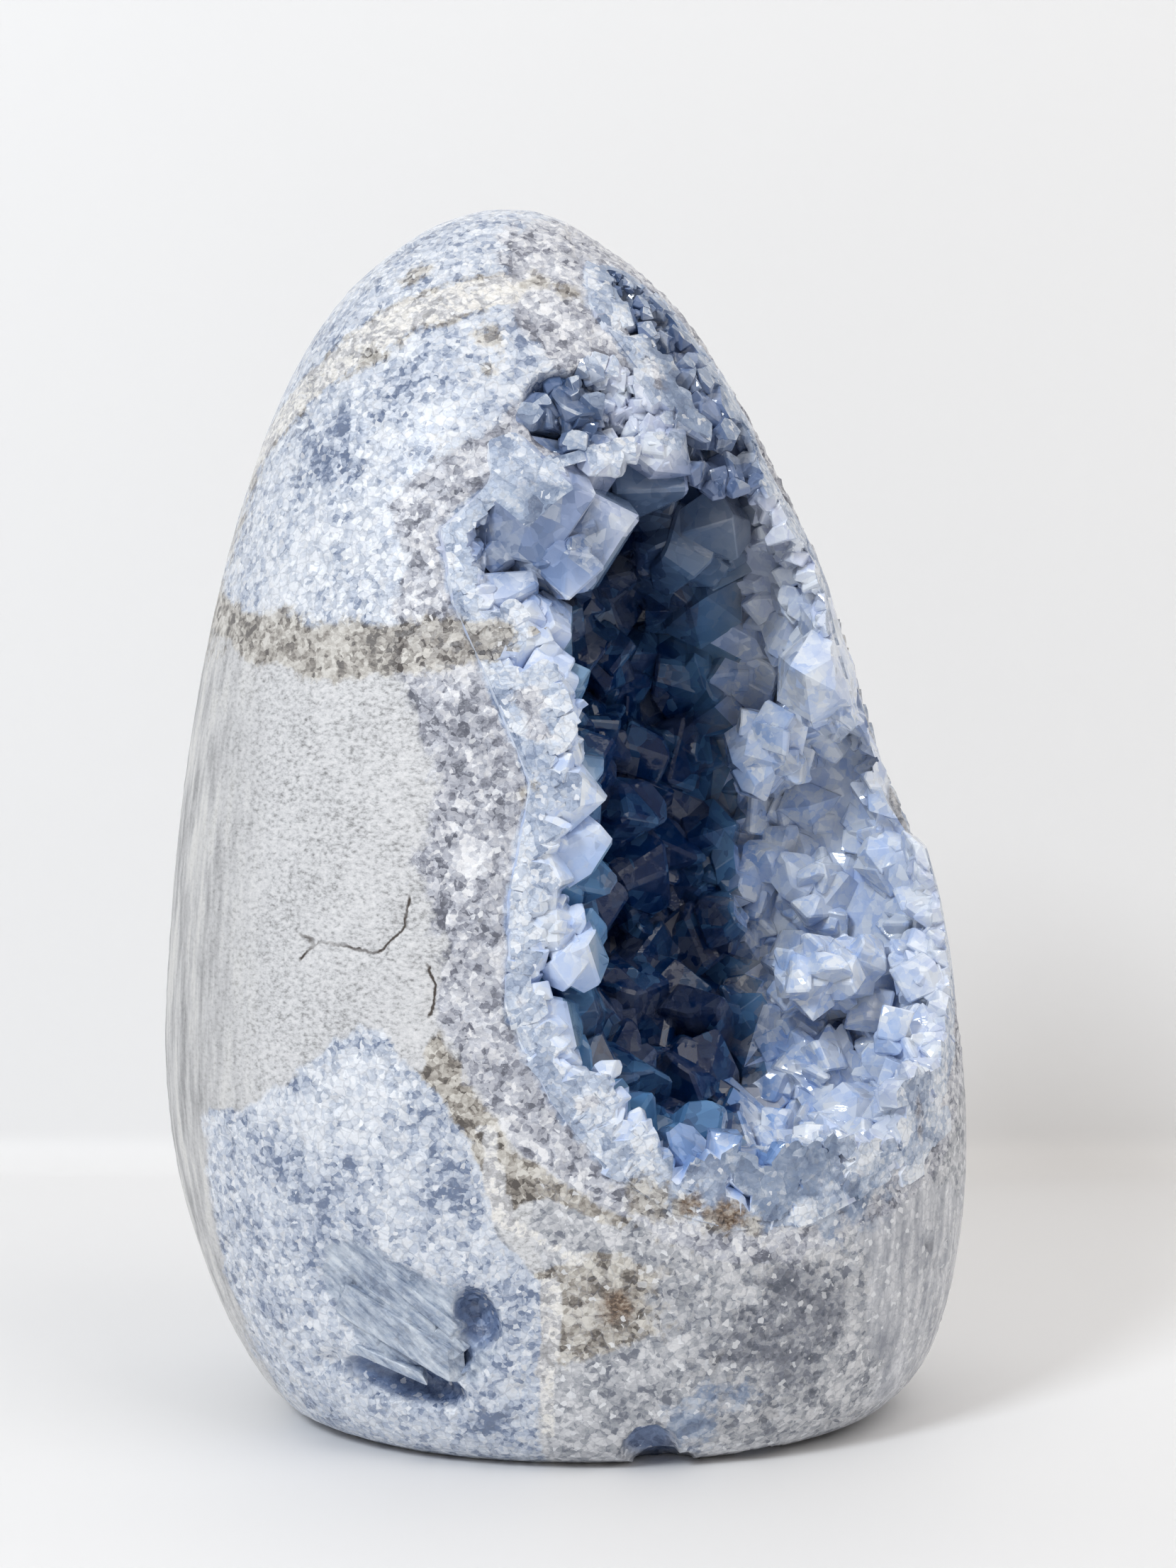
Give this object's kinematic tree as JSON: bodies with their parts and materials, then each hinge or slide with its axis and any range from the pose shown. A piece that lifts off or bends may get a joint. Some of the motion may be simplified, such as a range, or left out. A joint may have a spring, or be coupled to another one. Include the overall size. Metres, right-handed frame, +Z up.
{
  "type": "celestite freeform",
  "caption": "Egg-shaped polished stone with a flat cut base and a deep hollow at its front right, lined with blue crystals.",
  "frame": {"origin": "middle of the flat cut base, on the surface that the stone stands on", "axes": "+Z up from the base to the rounded top; +X to the right as seen from the hollow's side; -Y is the front, where the hollow opens"},
  "size_m": [0.1075, 0.0846, 0.16],
  "materials": {
    "stone": "polished",
    "crystal": "clear crystal"
  },
  "bodies": {
    "root": {"polished_stone": "stone", "crystal_crust": "crystal"}
  },
  "joints": []
}
